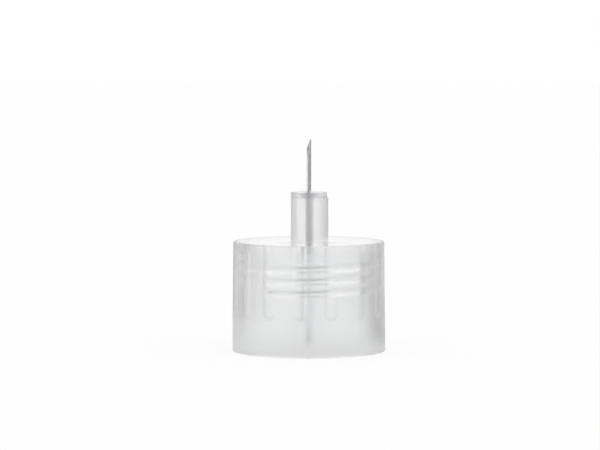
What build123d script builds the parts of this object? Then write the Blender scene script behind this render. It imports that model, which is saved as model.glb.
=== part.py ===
"""A pen needle: a clear moulded hub, the double-ended cannula bonded in its post, and the adhesive.

The hub stands on its open rim. The origin is the centre of that rim, and +Z runs along the axis to
the point that enters the skin. Sizes are in millimetres and angles in degrees.
"""

import math
import os

from build123d import *

# Skirt: the cup that screws over the end of a pen
hub_height = 8.25  # open rim to the outer face of the end wall
bore_radius = 4.80
skirt_wall = 0.95  # between the bore and the plain land
land_height = 2.45  # plain cylinder above the rim, where the mould draft starts
draft_loss = 0.06  # what the draft takes off the radius by the end wall
end_wall = 0.60
mouth_chamfer = 0.08
rim_round = 0.08
shoulder_round = 0.15

# Internal thread: one right-hand ridge
thread_pitch = 0.90
thread_turns = 2.95
thread_relief = 0.43  # from the end wall to the middle of the ridge's last turn
thread_start_angle = 230.0
ridge_height = 0.35
ridge_root = 0.56  # width at the wall
ridge_crest = 0.20  # width at the top of the ridge
ridge_bury = 0.10  # how far its root runs on into the wall

# Flutes down the outside of the skirt, gripped by the ribs of the outer cover
flute_count = 15
flute_radius = 1.75
flute_depth = 0.12
flute_foot = 2.70  # lowest point of a flute's round end

# Post that carries the cannula, with ribs for the inner shield
post_radius = 1.36
post_height = 3.70  # above the end wall
post_round = 0.06
rib_count = 3
rib_radius = 0.70
rib_proud = 0.10  # from the post's side to a rib's crest
rib_drop = 0.36  # from the post's top to the top of a rib
rib_tip = 0.58  # radius left at the top of a rib, above its sloped lead
rib_root = 0.36  # how far a rib's flat back lies inside the post's side

# Boss under the end wall, with the close hole that guides the cannula
boss_radius = 1.28
boss_length = 1.20
boss_chamfer = 0.15
guide_length = 1.00
guide_clearance = 0.01  # on the radius, round the cannula

# Well and channel for the adhesive
well_radius = 0.55
well_depth = 0.60
bond_gap = 0.04  # adhesive between the cannula and the channel, on the radius

# Cannula: a thin-walled tube, ground to a point at both ends
cannula_radius = 0.17
cannula_wall = 0.07
exposed_length = 4.00  # from the post's top to the skin point
rear_recess = 0.25  # from the rim plane in to the rear point
bevel_angle = 17.0  # main bevel, from the axis
lancet_angle = 23.0  # the two side bevels at the tip, from the axis
lancet_turn = 38.0  # each side bevel faces this far to one side of the main one
skin_bevel_facing = 225.0
rear_bevel_facing = 270.0

# Adhesive: its hollow surface hangs between the rim of the well and the cannula
edge_drop = 0.03  # below the post's top, at the well's wall
hollow_drop = 0.12  # at its lowest
climb_drop = 0.02  # on the cannula

post_top = hub_height + post_height
skirt_radius = bore_radius + skirt_wall
shoulder_radius = skirt_radius - draft_loss
wall_underside = hub_height - end_wall
thread_start = wall_underside - thread_relief - thread_pitch * thread_turns
boss_end = wall_underside - boss_length
guide_top = boss_end + guide_length
guide_radius = cannula_radius + guide_clearance
channel_radius = cannula_radius + bond_gap
well_floor = post_top - well_depth
skin_point = post_top + exposed_length
draft = math.atan2(draft_loss, hub_height - land_height)


def circle_at(part, radius, height):
    """The circular edges of a part that have this radius and stand at this height."""
    return part.edges().filter_by(
        lambda edge: edge.geom_type == GeomType.CIRCLE
        and abs(edge.radius - radius) < 1e-4
        and abs(edge.arc_center.Z - height) < 1e-4
    )


# One flute's tool: a round-nosed cutter that follows the drafted wall up through the shoulder
flute_nose = flute_foot + math.sqrt(flute_radius**2 - (flute_radius - flute_depth) ** 2)
flute_plane = Plane(
    origin=(skirt_radius - flute_depth + flute_radius, 0, flute_nose),
    z_dir=(-math.sin(draft), 0, math.cos(draft)),
)
with BuildPart(flute_plane) as flute:
    Cylinder(flute_radius, hub_height, align=(Align.CENTER, Align.CENTER, Align.MIN))
    Sphere(flute_radius)

# One rib of the post, rounded outwards, sloped at the top and cut flat at its back
rib_plane = Plane((post_radius + rib_proud - rib_radius, 0, hub_height))
with BuildPart(rib_plane) as rib:
    Cylinder(rib_radius, post_height - rib_drop, align=(Align.CENTER, Align.CENTER, Align.MIN))
    chamfer(rib.edges().group_by(Axis.Z)[-1], length=rib_radius - rib_tip)
    split(bisect_by=Plane.YZ.offset(post_radius - rib_root), keep=Keep.TOP)

# The thread's ridge: its section stands in an axial plane and follows the helix. The flanks run
# on into the wall, so that the ridge and the bore meet in one clean line.
flank_slope = (ridge_root - ridge_crest) / (2 * ridge_height)
buried_half = ridge_root / 2 + flank_slope * ridge_bury
with BuildPart() as thread:
    with BuildLine() as thread_line:
        Helix(thread_pitch, thread_pitch * thread_turns, bore_radius)
    with BuildSketch(Plane.XZ):
        Polygon(
            (bore_radius - ridge_height, -ridge_crest / 2),
            (bore_radius + ridge_bury, -buried_half),
            (bore_radius + ridge_bury, buried_half),
            (bore_radius - ridge_height, ridge_crest / 2),
            align=None,
        )
    sweep(path=thread_line.line, is_frenet=True)

# Hub: one moulding
with BuildPart() as hub:
    with BuildSketch(Plane.XZ):
        with BuildLine():
            Polyline(
                (bore_radius + mouth_chamfer, 0),
                (skirt_radius, 0),
                (skirt_radius, land_height),
                (shoulder_radius, hub_height),
                (post_radius, hub_height),
                (post_radius, post_top),
                (well_radius, post_top),
                (channel_radius, well_floor),
                (channel_radius, guide_top),
                (guide_radius, guide_top),
                (guide_radius, boss_end),
                (boss_radius, boss_end),
                (boss_radius, wall_underside),
                (bore_radius, wall_underside),
                (bore_radius, mouth_chamfer),
                close=True,
            )
        make_face()
    revolve(axis=Axis.Z)
    fillet(circle_at(hub, skirt_radius, 0), radius=rim_round)
    fillet(circle_at(hub, shoulder_radius, hub_height), radius=shoulder_round)
    fillet(circle_at(hub, post_radius, post_top), radius=post_round)
    chamfer(circle_at(hub, boss_radius, boss_end), length=boss_chamfer)
    with PolarLocations(0, flute_count):
        add(flute.part, mode=Mode.SUBTRACT)
    with PolarLocations(0, rib_count):
        add(rib.part)
    with Locations(Location((0, 0, thread_start), (0, 0, thread_start_angle))):
        add(thread.part)


def bevel_plane(height, upwards, facing, slope, turn=0.0):
    """A ground face through the point of the tube. Its normal leans out of the end, up or down."""
    side = math.radians(facing)
    seen = math.radians(facing + turn)
    lean = math.radians(slope)
    point = (-cannula_radius * math.cos(side), -cannula_radius * math.sin(side), height)
    normal = (
        math.cos(lean) * math.cos(seen),
        math.cos(lean) * math.sin(seen),
        math.sin(lean) * (1 if upwards else -1),
    )
    return Plane(origin=point, z_dir=normal)


# Cannula: the tube, then three ground faces at each end
with BuildPart() as cannula:
    with BuildSketch(Plane.XY.offset(rear_recess)):
        Circle(cannula_radius)
        Circle(cannula_radius - cannula_wall, mode=Mode.SUBTRACT)
    extrude(amount=skin_point - rear_recess)
    for height, upwards, facing in (
        (skin_point, True, skin_bevel_facing),
        (rear_recess, False, rear_bevel_facing),
    ):
        split(bisect_by=bevel_plane(height, upwards, facing, bevel_angle), keep=Keep.BOTTOM)
        for turn in (-lancet_turn, lancet_turn):
            side_bevel = bevel_plane(height, upwards, facing, lancet_angle, turn)
            split(bisect_by=side_bevel, keep=Keep.BOTTOM)

# Adhesive: cured in the channel and the well, round the cannula
well_slope = (well_radius - channel_radius) / well_depth
adhesive_edge = post_top - edge_drop
adhesive_radius = channel_radius + well_slope * (adhesive_edge - well_floor)
with BuildPart() as adhesive:
    with BuildSketch(Plane.XZ):
        with BuildLine():
            Polyline(
                (cannula_radius, post_top - climb_drop),
                (cannula_radius, guide_top),
                (channel_radius, guide_top),
                (channel_radius, well_floor),
                (adhesive_radius, adhesive_edge),
            )
            ThreePointArc(
                (adhesive_radius, adhesive_edge),
                ((adhesive_radius + cannula_radius) / 2, post_top - hollow_drop),
                (cannula_radius, post_top - climb_drop),
            )
        make_face()
    revolve(axis=Axis.Z)

hub.part.label = "hub"
cannula.part.label = "cannula"
adhesive.part.label = "adhesive"

os.makedirs("parts", exist_ok=True)
export_step(hub.part, "parts/hub.step")
export_step(cannula.part, "parts/cannula.step")
export_step(adhesive.part, "parts/adhesive.step")
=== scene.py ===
# %% [markdown]
# # A pen needle
#
# The object is a disposable needle for an injection pen: a clear moulded hub, a fine steel tube
# that is sharp at both ends, and a drop of cured adhesive that holds the tube in the hub. The
# solids come from a CAD frame. Blender gives them fine surfaces, materials, light and a camera.

# %% Load the frame
import math

import bmesh
import bpy
from mathutils import Matrix, Vector


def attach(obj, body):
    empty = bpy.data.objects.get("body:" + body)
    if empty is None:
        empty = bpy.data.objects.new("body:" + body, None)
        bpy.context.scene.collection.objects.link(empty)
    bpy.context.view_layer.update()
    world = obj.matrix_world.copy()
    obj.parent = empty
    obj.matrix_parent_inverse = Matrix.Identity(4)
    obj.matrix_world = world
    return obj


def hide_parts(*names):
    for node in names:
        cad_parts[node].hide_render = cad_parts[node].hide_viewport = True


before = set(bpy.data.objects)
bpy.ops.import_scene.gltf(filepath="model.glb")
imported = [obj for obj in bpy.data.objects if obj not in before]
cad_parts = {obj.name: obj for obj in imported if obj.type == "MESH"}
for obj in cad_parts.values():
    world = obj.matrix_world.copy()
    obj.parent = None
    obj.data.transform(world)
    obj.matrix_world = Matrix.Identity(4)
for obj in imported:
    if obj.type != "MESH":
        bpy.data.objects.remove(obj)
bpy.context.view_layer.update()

# %% [markdown]
# ## Units and sizes
#
# The drawing is in millimetres and Blender's frame is in metres. Each piece is modelled in
# millimetres, so that its numbers read as on the drawing, and is scaled once when it is done. The
# origin is the centre of the open rim, and Z runs up the needle's axis.

# %% Sizes, in millimetres and degrees
MM = 0.001

hub_height, land_height, post_height = 8.25, 2.45, 3.70
bore_radius, skirt_wall, draft_loss, end_wall = 4.80, 0.95, 0.06, 0.60
mouth_chamfer, rim_round, shoulder_round = 0.08, 0.08, 0.15
post_radius, post_round, post_fillet = 1.36, 0.06, 0.08
boss_radius, boss_length, boss_chamfer, guide_length = 1.28, 1.20, 0.15, 1.00
well_radius, well_depth, channel_radius, guide_radius = 0.55, 0.60, 0.21, 0.18
thread_pitch, thread_turns, thread_relief, thread_azimuth = 0.90, 2.95, 0.43, 230.0
ridge_height, ridge_root, ridge_crest = 0.35, 0.56, 0.20
flute_count, flute_radius, flute_depth, flute_foot = 15, 1.75, 0.12, 2.70
rib_count, rib_radius, rib_proud, rib_drop, rib_tip = 3, 0.70, 0.10, 0.36, 0.58
tube_radius, tube_wall, tube_low, tube_high = 0.17, 0.07, 0.25, 15.95

skirt_radius = bore_radius + skirt_wall
shoulder_radius = skirt_radius - draft_loss
underside = hub_height - end_wall
post_top = hub_height + post_height
boss_end = underside - boss_length
guide_top = boss_end + guide_length
thread_start = underside - thread_relief - thread_pitch * thread_turns
print("thread from", round(thread_start, 2), "mm, post top", post_top, "mm")

# %% [markdown]
# ## Helpers for turned shapes
#
# A moulded hub is a turned shape with details cut into it. In Blender such a shape is made by
# spinning a line of vertices about the axis, and a small lift at each step makes a screw of it.
# `polar` and `place` turn a vertex into an azimuth, a radius and a height and back, because all
# later details are easiest to say in those terms.


# %% Spin a profile
def spun(bm, profile, columns, lift=0.0):
    """Spin a line of (radius, height) points once about the axis, raised by lift at each step."""
    line = [bm.verts.new((radius, 0, height)) for radius, height in profile]
    edges = [bm.edges.new(pair) for pair in zip(line, line[1:])]
    bmesh.ops.spin(
        bm,
        geom=line + edges,
        cent=(0, 0, 0),
        axis=(0, 0, 1),
        dvec=(0, 0, lift),
        angle=math.tau,
        steps=columns,
        use_merge=lift == 0,
    )


def polar(vertex):
    """A vertex's azimuth in degrees, its radius and its height."""
    x, y, z = vertex.co
    return math.degrees(math.atan2(y, x)) % 360, math.hypot(x, y), z


def place(vertex, azimuth, radius, height):
    """Move a vertex to an azimuth in degrees, a radius and a height."""
    turn = math.radians(azimuth)
    vertex.co = (radius * math.cos(turn), radius * math.sin(turn), height)


# %% Round a circular edge
def ring(bm, radius, height, near=1e-3):
    """The edges that lie on one circle about the axis."""
    level = [v for v in bm.verts if abs(v.co.z - height) < near]
    on = {v for v in level if abs(v.co.xy.length - radius) < near}
    return [e for e in bm.edges if e.verts[0] in on and e.verts[1] in on]


def rounded(bm, radius, height, size, segments=4):
    """Round the edges that lie on one circle about the axis."""
    bmesh.ops.bevel(
        bm,
        geom=ring(bm, radius, height),
        offset=size,
        offset_type="OFFSET",
        segments=segments,
        profile=0.5,
        affect="EDGES",
        material=-1,
    )


# %% Cut by a plane
def trimmed(bm, point, normal, near):
    """Cut a mesh by a plane and drop the side to which the normal points."""
    return bmesh.ops.bisect_plane(
        bm,
        geom=bm.verts[:] + bm.edges[:] + bm.faces[:],
        dist=near,
        plane_co=point,
        plane_no=normal,
        clear_outer=True,
    )


# %% [markdown]
# ## Finishing a piece
#
# Every piece ends the same way: doubles are merged, normals are made to point outwards, it is
# scaled to metres, and its faces are shaded smooth except across sharp edges. It then rides on the
# frame's body and takes its material, and the CAD node that it replaces is hidden.

# %% From bmesh to a piece of the object
merge_distance = 4e-4
sharp_angle = math.radians(32)


def finish_piece(bm, name, node, material):
    """Turn a closed mesh in millimetres into a piece of the object."""
    bmesh.ops.remove_doubles(bm, verts=bm.verts, dist=merge_distance)
    bmesh.ops.recalc_face_normals(bm, faces=bm.faces)
    open_edges = sum(1 for e in bm.edges if len(e.link_faces) != 2)
    for face in bm.faces:
        face.smooth = True
    for edge in bm.edges:
        edge.smooth = edge.calc_face_angle(0.0) < sharp_angle
    volume = round(bm.calc_volume(signed=True), 3)
    bmesh.ops.scale(bm, vec=(MM, MM, MM), verts=bm.verts)
    mesh = bpy.data.meshes.new(name)
    bm.to_mesh(mesh)
    bm.free()
    mesh.materials.append(material)
    piece = bpy.data.objects.new(name, mesh)
    bpy.context.scene.collection.objects.link(piece)
    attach(piece, "root")
    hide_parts(node)
    print(name, len(mesh.polygons), "faces,", open_edges, "open edges,", volume, "mm3")


# %% [markdown]
# ## Shader maths as Python
#
# A material with a pattern needs arithmetic on sockets. Adding each Math node by hand is long to
# read, so a small class wraps a socket and overloads the operators: an expression such as
# `1 - mask * 0.5` then adds the nodes by itself. Every other node comes from the `node` method.


# %% A socket that can be added and multiplied
class Socket:
    def __init__(self, tree, socket=None):
        self.tree, self.socket = tree, socket

    def node(self, kind, settings=None, sockets=None, output=0):
        """Add a node, set it up, link or fill its inputs and return one of its outputs."""
        made = self.tree.nodes.new(kind)
        for name, value in (settings or {}).items():
            setattr(made, name, value)
        for name, value in (sockets or {}).items():
            if isinstance(value, Socket):
                self.tree.links.new(value.socket, made.inputs[name])
            else:
                made.inputs[name].default_value = value
        return Socket(self.tree, made.outputs[output])

    def math(self, operation, *values):
        return self.node("ShaderNodeMath", {"operation": operation}, dict(enumerate(values)))

    def __add__(self, other):
        return self.math("ADD", self, other)

    def __sub__(self, other):
        return self.math("SUBTRACT", self, other)

    def __rsub__(self, other):
        return self.math("SUBTRACT", other, self)

    def __mul__(self, other):
        return self.math("MULTIPLY", self, other)

    __radd__, __rmul__ = __add__, __mul__

    def step(self, low, high):
        """A smooth step from 0 at low to 1 at high."""
        return self.node(
            "ShaderNodeMapRange",
            {"interpolation_type": "SMOOTHSTEP"},
            {"Value": self, "From Min": low, "From Max": high},
        )

    def axes(self):
        """The x, y and z of a vector."""
        parts = self.node("ShaderNodeSeparateXYZ", sockets={0: self})
        return [Socket(self.tree, out) for out in parts.socket.node.outputs]


# %% Trees and their outputs
def emptied(owner):
    """The node tree of a material or a world, with nothing in it."""
    owner.use_nodes = True
    owner.node_tree.nodes.clear()
    return Socket(owner.node_tree)


def new_material(name):
    material = bpy.data.materials.new(name)
    return material, emptied(material)


def output(tree, surface, kind="ShaderNodeOutputMaterial"):
    """Link the last shader to the tree's output."""
    end = tree.tree.nodes.new(kind)
    tree.tree.links.new(surface.socket, end.inputs["Surface"])


def mixed(tree, share, first, second):
    """The first shader where share is 0, and the second where it is 1."""
    return tree.node("ShaderNodeMixShader", sockets={0: share, 1: first, 2: second})


def output_clear(tree, shader, tint):
    """Output a clear shader that lets the lamps through, because glass alone would block them."""
    shadow_ray = tree.node("ShaderNodeLightPath", output="Is Shadow Ray")
    passed = tree.node("ShaderNodeBsdfTransparent", sockets={"Color": tint})
    output(tree, mixed(tree, shadow_ray, shader, passed))


# %% [markdown]
# ## Clear plastic
#
# The hub is moulded in a clear plastic. It is glass to a shader: light passes it and bends. The
# inside of the mould was polished, so the bore is quite clear. The outer wall is hazy, most of all
# in the plain band below the thread, which softens the needle far behind it but not the thread
# close to it. The ribbed post is hazy too. So the roughness follows the height and the radius,
# with a slight cloud, and a faint bump stands for the melt's flow marks. The wall's roughness
# stays above 0.274 all over: where it crosses that value, Blender's denoiser treats the glass in
# another way and draws a line. The post's haze starts inside the small fillet at its foot, which
# hides its line.

# %% The plastic's haze
bore_haze, wall_haze, skirt_haze, cloud_haze = 0.03, 0.25, 0.03, 0.04
plain_haze, post_haze = 0.05, 0.31

plastic, tree = new_material("clear_plastic")
where = tree.node("ShaderNodeTexCoord", output="Object")
x, y, z = where.axes()
radius = tree.math("SQRT", x * x + y * y)
skirt = z.step(2.10 * MM, 2.90 * MM) * radius.step(5.2 * MM, 5.5 * MM)
post = z.step((hub_height - 0.01) * MM, (hub_height + 0.02) * MM)
post = post * radius.step(1.20 * MM, 1.30 * MM) * (1 - radius.step(2.0 * MM, 3.0 * MM))
cloud = tree.node("ShaderNodeTexNoise", sockets={"Vector": where, "Scale": 900.0, "Detail": 3.0})
outside = radius.step(5.3 * MM, 5.5 * MM)
plain = skirt * (1 - z.step(4.20 * MM, 5.20 * MM))
haze = bore_haze + outside * wall_haze + skirt * (skirt_haze + cloud * cloud_haze)
haze = haze + plain * plain_haze + post * post_haze

# %% The plastic's shader
flow = tree.node(
    "ShaderNodeTexNoise",
    sockets={"Vector": where, "Scale": 1300.0, "Detail": 2.0, "Roughness": 0.45},
)
waves = tree.node(
    "ShaderNodeBump",
    sockets={"Height": flow, "Strength": 0.02, "Distance": 0.05 * MM},
)
glass = tree.node(
    "ShaderNodeBsdfPrincipled",
    sockets={
        "Base Color": (0.98, 0.983, 0.987, 1),
        "Roughness": haze,
        "IOR": 1.49,
        "Transmission Weight": 1.0,
        "Normal": waves,
    },
)
output_clear(tree, glass, (0.97, 0.972, 0.975, 1))
print("clear_plastic", len(plastic.node_tree.nodes), "nodes")

# %% [markdown]
# ## Steel
#
# The tube is drawn stainless steel, so its marks run along it, and its points are ground. At this
# size the metal mostly mirrors the room. A noise that is stretched along the axis gives the
# drawing lines.

# %% The steel's material
steel, tree = new_material("steel")
where = tree.node("ShaderNodeTexCoord", output="Object")
drawn = tree.node(
    "ShaderNodeMapping",
    {"vector_type": "POINT"},
    {"Vector": where, "Scale": (1, 1, 0.03)},
)
lines = tree.node("ShaderNodeTexNoise", sockets={"Vector": drawn, "Scale": 30000.0, "Detail": 2.0})
marks = tree.node(
    "ShaderNodeBump",
    sockets={"Height": lines, "Strength": 0.15, "Distance": 0.004 * MM},
)
metal = tree.node(
    "ShaderNodeBsdfPrincipled",
    sockets={
        "Base Color": (0.84, 0.84, 0.85, 1),
        "Metallic": 1.0,
        "Roughness": 0.20 + lines * 0.16,
        "Normal": marks,
    },
)
output(tree, metal)
print("steel", len(steel.node_tree.nodes), "nodes")

# %% [markdown]
# ## Cured adhesive
#
# The adhesive is a resin that sets under light. It bends light as the plastic does, a little more
# strongly. It isn't quite clear, so a small part of the light is scattered instead of passing, and
# its roughness varies a little from place to place.

# %% The adhesive's material
resin, tree = new_material("cured_adhesive")
where = tree.node("ShaderNodeTexCoord", output="Object")
cloud = tree.node("ShaderNodeTexNoise", sockets={"Vector": where, "Scale": 4000.0, "Detail": 2.0})
drop = tree.node(
    "ShaderNodeBsdfPrincipled",
    sockets={
        "Base Color": (0.97, 0.97, 0.975, 1),
        "Roughness": 0.16 + cloud * 0.08,
        "IOR": 1.50,
        "Transmission Weight": 0.85,
    },
)
output_clear(tree, drop, (0.95, 0.952, 0.955, 1))
print("cured_adhesive", len(resin.node_tree.nodes), "nodes")

# %% [markdown]
# ## The hub: outside
#
# The hub is one moulding, so it is one closed mesh. It could be joined from solids with Booleans,
# but their thin triangles shade badly in glass. Here it is spun in three parts with tidy rows and
# columns, and the details are made by moving vertices of those rows. First comes the outside:
# down the bore's mouth, round the rim, up the skirt and over the end wall.

# %% Spin the outside
COLUMNS = 360
mouth_top = 2.0  # where the outside's part ends in the bore
seam_radius = 1.8  # the circle on the end wall that the outside shares with the post
shoulder_row = 0.19  # from the shoulder's edge to the next row on either side

flute_axis = skirt_radius - flute_depth + flute_radius
flute_nose = flute_foot + math.sqrt(flute_radius**2 - (flute_radius - flute_depth) ** 2)
foot_rows = [0.02, 0.05, 0.09, 0.14, 0.20, 0.27]
flute_above = flute_nose + foot_rows[-1]
wall_rows = [flute_nose - 0.04, flute_nose] + [flute_nose + rise for rise in foot_rows]
wall_rows += [5.0, 6.5, hub_height - shoulder_row, hub_height]


def wall_radius(height):
    """The drafted outside of the skirt."""
    return skirt_radius - draft_loss * max(height - land_height, 0) / (hub_height - land_height)


hub = bmesh.new()
spun(
    hub,
    [(bore_radius, mouth_top), (bore_radius, mouth_chamfer), (bore_radius + mouth_chamfer, 0)]
    + [(skirt_radius, height) for height in (0, rim_round + 0.04, 0.8, 1.6, land_height)]
    + [(wall_radius(height), height) for height in wall_rows]
    + [(radius, hub_height) for radius in (shoulder_radius - shoulder_row, 3.4, seam_radius)],
    COLUMNS,
)
rounded(hub, skirt_radius, 0, rim_round)
rounded(hub, shoulder_radius, hub_height, shoulder_round, 6)
print("outside", len(hub.verts), "vertices")

# %% [markdown]
# ## Flutes
#
# Fifteen shallow flutes run down the skirt and end in a round foot. The cutter that made them in
# the mould was a rod with a ball end, so a flute's surface is part of a cylinder and its foot part
# of a sphere. Columns are first slid sideways so that two of them lie on each flute's edges, rows
# are bent round its foot, and then the vertices inside it are moved in to the cutter's surface.

# %% Slide columns to a detail's edges
edge_gap = 0.4  # degrees from a detail's edge to the next column outside it


def edge_azimuth(radius, axis, bar):
    """The azimuth at which a bar, upright at this distance, crosses a wall of this radius."""
    return math.degrees(math.acos((radius**2 + axis**2 - bar**2) / (2 * radius * axis)))


def slid(azimuth, copies, edge, inside):
    """A column's new azimuth, and its offset from the middle of the nearest copy of a detail.

    The column that stands inside steps from that middle comes to lie on the detail's edge.
    """
    each = COLUMNS // copies
    half = each // 2
    number = round(azimuth * COLUMNS / 360) % COLUMNS
    turn, step = divmod(number, each)
    side = step if step <= half else each - step
    if side <= inside:
        offset = edge * math.sin(math.pi / 2 * side / inside)
    else:
        near = edge + edge_gap
        offset = near + (180 / copies - near) * (side - inside - 1) / (half - inside - 1)
    offset = offset if step <= half else -offset
    return (turn + (step > half)) * 360 / copies + offset, abs(offset)


# %% Cut the flutes
flute_columns = 6  # from a flute's middle to its edge
mouth_radius = bore_radius + mouth_chamfer + 0.2  # the mouth inside it has no flutes
close = 0.01  # rows this near to a height count as being at it
flute_edge = edge_azimuth(skirt_radius, flute_axis, flute_radius)
for vertex in hub.verts:
    azimuth, radius, height = polar(vertex)
    if radius < mouth_radius:
        continue
    azimuth, offset = slid(azimuth, flute_count, flute_edge, flute_columns)
    turn = math.radians(offset)
    if offset < flute_edge and height > land_height + close:
        reach = skirt_radius**2 + flute_axis**2 - 2 * skirt_radius * flute_axis * math.cos(turn)
        foot = flute_nose - math.sqrt(max(flute_radius**2 - reach, 0))
        if height < flute_nose - close:
            height += foot - flute_nose
        elif height < flute_above:
            rise = (flute_above - foot) * (height - flute_nose) / (flute_above - flute_nose)
            height = foot + rise
        axis = flute_axis - draft_loss * max(height - flute_nose, 0) / (hub_height - land_height)
        ball = flute_radius**2 - min(height - flute_nose, 0) ** 2
        inner = ball - (axis * math.sin(turn)) ** 2
        if inner > 0:
            radius = min(radius, axis * math.cos(turn) - math.sqrt(inner))
    place(vertex, azimuth, radius, height)
print("flutes", flute_count, "edge at", round(flute_edge, 2), "degrees")

# %% [markdown]
# ## Post, well and boss
#
# The second part starts at the foot of the post, climbs it, goes down the adhesive well and the
# channel, comes out of the guide hole in the boss and ends under the end wall. Three ribs on the
# post grip the inner shield. A rib is a round bar sunk in the post's side, with a sloped top that
# leads the shield on. Rows close to an edge keep its rounding tight.

# %% Spin the post
corner_low = underside - 0.06  # where this part ends in the bore
rib_axis = post_radius + rib_proud - rib_radius
rib_end = post_top - rib_drop
rib_slope = rib_end - (rib_radius - rib_tip)
post_rows = [hub_height, hub_height + 0.12, rib_slope, rib_slope + 0.08, rib_slope + 0.16]
post_rows += [rib_end - 0.03, rib_end, rib_end + 0.01, post_top - 0.10, post_top]

inside_part = bmesh.new()
spun(
    inside_part,
    [(seam_radius, hub_height), (post_radius + 0.12, hub_height)]
    + [(post_radius, height) for height in post_rows]
    + [(radius, post_top) for radius in (post_radius - 0.10, 0.9, well_radius + 0.06, well_radius)]
    + [(channel_radius, post_top - well_depth), (channel_radius, guide_top)]
    + [(guide_radius, guide_top)]
    + [(radius, boss_end) for radius in (guide_radius, 0.6, boss_radius - boss_chamfer)]
    + [(boss_radius, boss_end + boss_chamfer)]
    + [(radius, underside) for radius in (boss_radius, 3.0, bore_radius)]
    + [(bore_radius, corner_low)],
    COLUMNS,
)
rounded(inside_part, post_radius, hub_height, post_fillet)
rounded(inside_part, post_radius, post_top, post_round)
rounded(inside_part, well_radius, post_top, 0.03, 3)
rounded(inside_part, boss_radius, underside, 0.06, 3)
print("post, well and boss", len(inside_part.verts), "vertices")

# %% Raise the ribs
rib_columns = 14  # from a rib's middle to its edge
top_reach, foot_reach = post_radius - post_round - close, 1.7  # round the post's side
rib_edge = edge_azimuth(post_radius, rib_axis, rib_radius)
for vertex in inside_part.verts:
    azimuth, radius, height = polar(vertex)
    if height < hub_height - close or not top_reach < radius < foot_reach:
        continue
    azimuth, offset = slid(azimuth, rib_count, rib_edge, rib_columns)
    bar = rib_radius - min(max(height - rib_slope, 0), rib_radius - rib_tip)
    turn = math.radians(offset)
    inner = bar**2 - (rib_axis * math.sin(turn)) ** 2
    if inner > 0 and height < rib_end + 0.001:
        flare = radius - post_radius
        radius = max(radius, rib_axis * math.cos(turn) + math.sqrt(inner) + flare)
    place(vertex, azimuth, radius, height)
print("ribs", rib_count, "edge at", round(rib_edge, 2), "degrees")

# %% [markdown]
# ## Thread
#
# The pen's thread is one ridge that climbs the bore. If the rows of the mesh were level, the ridge
# would cross them at a slant and its edges would look ragged in the glass. So the bore is spun
# with a small lift at each step, which makes rows that climb with the ridge. After one turn they
# meet the rows one pitch higher. Two level cuts trim the part, and the rows near the ridge move in
# to its section.

# %% Spin the bore with a lift
bore_low, bore_high = thread_start - 0.5, underside - 0.10
row_distance = 2e-3  # rows that meet after a turn merge within it
half_rows = [0.05, 0.075, 0.10, 0.125, 0.16, 0.20, 0.235, 0.26, 0.285, 0.31, 0.36]
rows = sorted([0.0, thread_pitch / 2] + half_rows + [-row for row in half_rows])
bore = bmesh.new()
spun(
    bore,
    [
        (bore_radius, thread_start + thread_pitch * turn + row)
        for turn in range(-2, 5)
        for row in rows
    ],
    COLUMNS,
    lift=thread_pitch / COLUMNS,
)
bmesh.ops.remove_doubles(bore, verts=bore.verts, dist=row_distance)
bmesh.ops.rotate(
    bore,
    verts=bore.verts,
    cent=(0, 0, 0),
    matrix=Matrix.Rotation(math.radians(thread_azimuth), 3, "Z"),
)
for height, side in ((bore_low, -1), (bore_high, 1)):
    trimmed(bore, (0, 0, height), (0, 0, side), 1e-5)
print("bore", len(bore.verts), "vertices")


# %% Raise the ridge
def soft(value, blend=0.045):
    """Value where it is positive, else 0, with a rounded corner between."""
    return 0.0 if value < -blend else value if value > blend else (value + blend) ** 2 / (4 * blend)


def ramp(value, low, high):
    """0 below low, 1 above high, and a smooth step between."""
    share = min(max((value - low) / (high - low), 0.0), 1.0)
    return share * share * (3 - 2 * share)


thread_end, thread_fade = 360 * thread_turns, 9
for vertex in bore.verts:
    azimuth, _, height = polar(vertex)
    along = (azimuth - thread_azimuth) % 360
    climbed = thread_start + thread_pitch * along / 360
    turns = round((height - climbed) / thread_pitch)
    along += 360 * turns
    off = abs(height - climbed - thread_pitch * turns)
    flank = soft(ridge_root / 2 - off) - soft(ridge_crest / 2 - off)
    proud = ridge_height * flank / ((ridge_root - ridge_crest) / 2)
    proud *= ramp(along, 0, thread_fade) * (1 - ramp(along, thread_end - thread_fade, thread_end))
    place(vertex, azimuth, bore_radius - proud, height)
print("ridge", thread_turns, "turns")

# %% [markdown]
# ## One closed hub
#
# The three parts go into one mesh. The outside and the post share a circle on the end wall and
# merge there. The bore is joined to its neighbours by bridging the open loops below and above the
# thread.

# %% Join the parts
for part in (inside_part, bore):
    mesh = bpy.data.meshes.new("part")
    part.to_mesh(mesh)
    part.free()
    hub.from_mesh(mesh)
    bpy.data.meshes.remove(mesh)
bmesh.ops.remove_doubles(hub, verts=hub.verts, dist=merge_distance)


def hole_edges(bm, low, high):
    """The edges of the open loops between two heights."""
    return [e for e in bm.edges if e.is_boundary and all(low < v.co.z < high for v in e.verts)]


for low, high in ((mouth_top - 0.1, thread_start), (bore_high - 0.1, underside)):
    bmesh.ops.bridge_loops(hub, edges=hole_edges(hub, low, high))
finish_piece(hub, "hub_moulding", "hub", plastic)

# %% [markdown]
# ## The tube
#
# The needle is a thin steel tube. Each end is ground three times: one long bevel opens it, and two
# short ones beside the point make the lancet. A spun wall is cut by a plane for each ground face,
# and the cut is filled, which leaves the true crescent round the bore of the tube.

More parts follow.
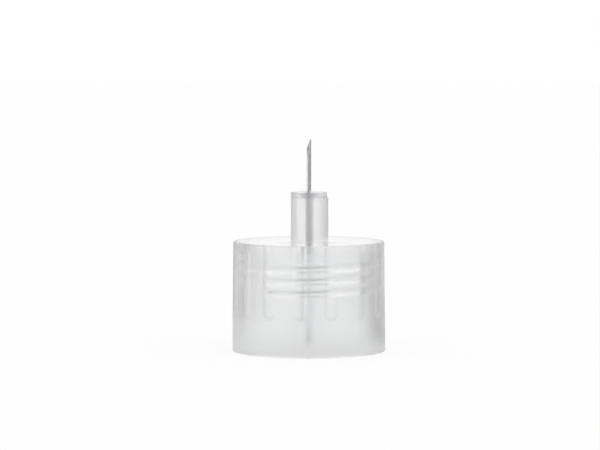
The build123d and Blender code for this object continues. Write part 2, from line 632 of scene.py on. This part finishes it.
# %% Cut the tube to length
tube_bore = tube_radius - tube_wall
heights = [tube_low] + [tube_low + 0.3 + 0.7 * i for i in range(22)] + [tube_high]
tube = bmesh.new()
spun(
    tube,
    [(tube_radius, height) for height in heights]
    + [(tube_bore, height) for height in reversed(heights)]
    + [(tube_radius, tube_low)],
    columns=48,
)
bmesh.ops.remove_doubles(tube, verts=tube.verts, dist=merge_distance)
print("tube", len(tube.verts), "vertices")

# %% Grind its ends
bevel_angle, lancet_angle, lancet_turn = 17.0, 23.0, 38.0
skin_facing, rear_facing = 225.0, 270.0


def grind(bm, height, up, facing, slope, turn=0.0):
    """Grind a flat face through a point of the tube, at a slope from the axis, and close it."""
    side, seen, lean = (math.radians(v) for v in (facing, facing + turn, slope))
    point = Vector((-tube_radius * math.cos(side), -tube_radius * math.sin(side), height))
    normal = Vector(
        (math.cos(lean) * math.cos(seen), math.cos(lean) * math.sin(seen), math.sin(lean) * up)
    )
    cut = trimmed(bm, point, normal, 1e-6)["geom_cut"]
    edges = [e for e in cut if isinstance(e, bmesh.types.BMEdge) and e.is_boundary]
    bmesh.ops.triangle_fill(bm, edges=edges, use_beauty=True)


for height, up, facing in ((tube_high, 1, skin_facing), (tube_low, -1, rear_facing)):
    grind(tube, height, up, facing, bevel_angle)
    for turn in (-lancet_turn, lancet_turn):
        grind(tube, height, up, facing, lancet_angle, turn)
finish_piece(tube, "cannula_tube", "cannula", steel)

# %% [markdown]
# ## The adhesive
#
# The adhesive fills the channel and most of the well. As a liquid it climbed the steel and the
# plastic a little, so its top is hollow. It wets both of them. In the mesh it reaches a few
# microns into them, because two glass surfaces in the very same place would flicker.

# %% Spin the drop
lap = 0.004  # how far it reaches into the steel and the plastic
drop_edge, drop_hollow, drop_climb = 0.03, 0.12, 0.02  # below the post's top
arc_steps = 12

inner_radius, outer_radius = tube_radius - lap, channel_radius + lap
slope = (well_radius - channel_radius) / well_depth
edge_radius = channel_radius + slope * (well_depth - drop_edge) + lap
sag = drop_hollow - (drop_edge + drop_climb) / 2
surface = []
for i in range(arc_steps + 1):
    share = i / arc_steps
    level = post_top - drop_edge + (drop_edge - drop_climb) * share
    surface.append(
        (edge_radius + (inner_radius - edge_radius) * share, level - sag * 4 * share * (1 - share))
    )
adhesive = bmesh.new()
spun(
    adhesive,
    [(inner_radius, guide_top), (outer_radius, guide_top), (outer_radius, post_top - well_depth)]
    + surface
    + [(inner_radius, guide_top)],
    columns=96,
)
finish_piece(adhesive, "adhesive_drop", "adhesive", resin)

# %% [markdown]
# ## Floor and room
#
# The object stands in a white studio. Seen by the camera, the floor is white with a faint shadow.
# To mirror and glass rays it glows greyer, with a painted shadow of the hub darkening it near the
# axis.
# Clear plastic and steel show what stands round them, so that matters more than the lamps. A
# photographer puts grey cards beside such an object, because in an all-white room its edges would
# vanish. Here the cards are soft bands of azimuth in the floor's and the room's brightness. Two
# stand to the left and right behind the object, and one stands where the camera is. Because the
# light leaves at a flat angle, each height of the object sees its own ring of the floor, so the
# cards fade on the rings that the thread and the post see. Some cards are seen by the steel alone:
# mirror rays have Is Glossy Ray without Is Transmission Ray, while a ray that went through the
# plastic has both. The room is a little brighter above the cards and greyer overhead, so that the
# rim of the end wall shows no white arc.

# %% Grey cards, each with an azimuth, half width, blur and depth
near_cards = ((56, 6, 26, 0.38), (-54, 6, 16, 0.27))
far_cards = ((38, 4, 9, 0.55), (-32, 4, 9, 0.26))
camera_cards = ((180, 12, 24, 0.55),)
mirror_cards = ((102, 44, 18, 0.88),)
bevel_cards = ((-88, 14, 14, 0.50), (-164, 18, 14, 0.85))


def shades(side, ahead, cards):
    """How much darker it is in a level direction, whose parts to the side and ahead are given."""
    total = 0
    for azimuth, half_width, blur, depth in cards:
        turn = math.radians(azimuth)
        facing = side * math.sin(turn) + ahead * math.cos(turn)
        edge, inner = (math.cos(math.radians(v)) for v in (half_width + blur, half_width))
        total = facing.step(edge, inner) * depth + total
    return total


# %% What a ray is and where it looks
def rays(tree):
    """Whether a ray comes from the camera, from a mirror or gloss, and through glass."""
    path = tree.node("ShaderNodeLightPath").socket.node.outputs
    names = ("Is Camera Ray", "Is Glossy Ray", "Is Transmission Ray")
    return [Socket(tree.tree, path[name]) for name in names]


def bearing(tree, x, y, tiny):
    """The distance from the axis and the level direction. Tiny keeps it from dividing by 0."""
    distance = tree.math("SQRT", x * x + y * y + tiny)
    return distance, tree.math("DIVIDE", x, distance), tree.math("DIVIDE", y, distance)


# %% The floor's brightness
painted_shadow_tone, painted_shadow_lift, camera_tone = 0.73, 0.18, 1.07
thread_fading, post_fading = 0.45, 0.6

bpy.ops.mesh.primitive_plane_add(size=2.4, location=(0, 0, 0))
floor = bpy.context.object
floor.name = "studio_floor"
white, tree = new_material("studio_floor")
camera_ray, glossy_ray, passing_ray = rays(tree)
x, y, _ = tree.node("ShaderNodeTexCoord", output="Object").axes()
distance, side, ahead = bearing(tree, x, y, 1e-8)
far = distance.step(105 * MM, 125 * MM)
under_post = distance.step(66 * MM, 76 * MM)
under_thread = distance.step(34 * MM, 62 * MM) - under_post
cards = shades(side, ahead, near_cards) * (1 - under_thread * thread_fading)
cards = cards + shades(side, ahead, camera_cards) * (1 - under_post * post_fading)
cards = cards * (1 - far) + shades(side, ahead, far_cards) * far
cards = cards + shades(side, ahead, mirror_cards) * glossy_ray * (1 - passing_ray)
# Painted shadow: near the axis the floor's glow for mirror and glass rays is darker, as if the hub
# shaded it, and it lifts between 5 and 14 mm out.
tone = painted_shadow_tone + distance.step(5 * MM, 14 * MM) * painted_shadow_lift
tone = tone - cards * distance.step(7 * MM, 16 * MM)

# %% The floor's shader
camera_glow, passing_glow = 0.75, 0.9  # the rest is matte and takes the shadow

matte = tree.node("ShaderNodeBsdfDiffuse", sockets={"Color": (0.8, 0.8, 0.8, 1)})
bright = camera_ray * camera_tone + (1 - camera_ray) * tone
glow = tree.node("ShaderNodeEmission", sockets={"Color": (1, 1, 1, 1), "Strength": bright})
seen = tree.math("MAXIMUM", glossy_ray, passing_ray)
share = camera_ray * camera_glow + seen * passing_glow
output(tree, mixed(tree, share, matte, glow))
floor.data.materials.append(white)
print("floor", floor.dimensions[:])

# %% The room
card_fading, ceiling_rise, overhead_loss, matte_light = 0.8, 0.12, 0.34, 0.55

world = bpy.data.worlds.new("studio")
bpy.context.scene.world = world
tree = emptied(world)
camera_ray, glossy_ray, passing_ray = rays(tree)
x, y, z = tree.node("ShaderNodeTexCoord", output="Generated").axes()
_, side, ahead = bearing(tree, x, y, 1e-4)
cards = shades(side, ahead, near_cards) * card_fading + shades(side, ahead, camera_cards)
cards = cards * (1 - z.step(0.30, 0.60))
cards = cards + shades(side, ahead, bevel_cards) * glossy_ray * (1 - passing_ray)
tone = 1.0 + z.step(0.25, 0.60) * ceiling_rise - z.step(0.75, 0.95) * overhead_loss - cards
bright = camera_ray + (1 - camera_ray) * tone
seen = tree.math("MAXIMUM", camera_ray, tree.math("MAXIMUM", glossy_ray, passing_ray))
strength = seen * bright + (1 - seen) * matte_light
glow = tree.node("ShaderNodeBackground", sockets={"Color": (1, 1, 1, 1), "Strength": strength})
output(tree, glow, "ShaderNodeOutputWorld")
print("room", len(world.node_tree.nodes), "nodes")

# %% [markdown]
# ## Lamps and camera
#
# Two wide suns stand for soft boxes: the stronger from the upper left, a weaker one from the
# right. They give the faint shadow on the floor, and are hidden from mirror and glass, which see
# the room instead. The camera is far away behind a long lens and a little above the object, as the
# ellipses of the rim and the end wall show. Inside clear walls light turns many times before it
# leaves, and a path that is cut short ends black. So more bounces are allowed than Blender's
# default of 4 glossy ones.


# %% Lamps
def lamp(name, strength, spread, azimuth, elevation):
    """A soft sun. Its azimuth counts from the camera's side, and is negative to the left."""
    light = bpy.data.lights.new(name, "SUN")
    light.energy, light.angle = strength, math.radians(spread)
    holder = bpy.data.objects.new(name, light)
    bpy.context.scene.collection.objects.link(holder)
    a, e = math.radians(azimuth), math.radians(elevation)
    towards = Vector((math.sin(a) * math.cos(e), -math.cos(a) * math.cos(e), math.sin(e)))
    holder.rotation_euler = towards.to_track_quat("Z", "Y").to_euler()
    holder.visible_glossy = holder.visible_transmission = False
    print("lamp", name, strength)


lamp("key", strength=1.2, spread=100, azimuth=-50, elevation=55)
lamp("fill", strength=0.4, spread=100, azimuth=60, elevation=40)

# %% Camera
camera_distance, camera_height, camera_turn = 210.0, 23.7, math.radians(1.1)
aim_height, aim_left = 9.46, 0.67
bounces = 32

camera = bpy.data.objects.new("camera", bpy.data.cameras.new("camera"))
bpy.context.scene.collection.objects.link(camera)
bpy.context.scene.camera = camera
camera.data.lens, camera.data.sensor_width = 168.0, 36.0
camera.data.clip_start, camera.data.clip_end = 0.01, 20.0
sine, cosine = math.sin(camera_turn), math.cos(camera_turn)
sideways = Vector((cosine, sine, 0))
camera.location = Vector((camera_distance * sine, -camera_distance * cosine, camera_height)) * MM
aim = (Vector((0, 0, aim_height)) - aim_left * sideways) * MM
camera.rotation_euler = (aim - camera.location).to_track_quat("-Z", "Y").to_euler()
bpy.context.scene.view_settings.view_transform = "Standard"
cycles = bpy.context.scene.cycles
cycles.max_bounces = cycles.transmission_bounces = cycles.glossy_bounces = bounces
print("camera at", [round(v / MM, 1) for v in camera.location], "mm")
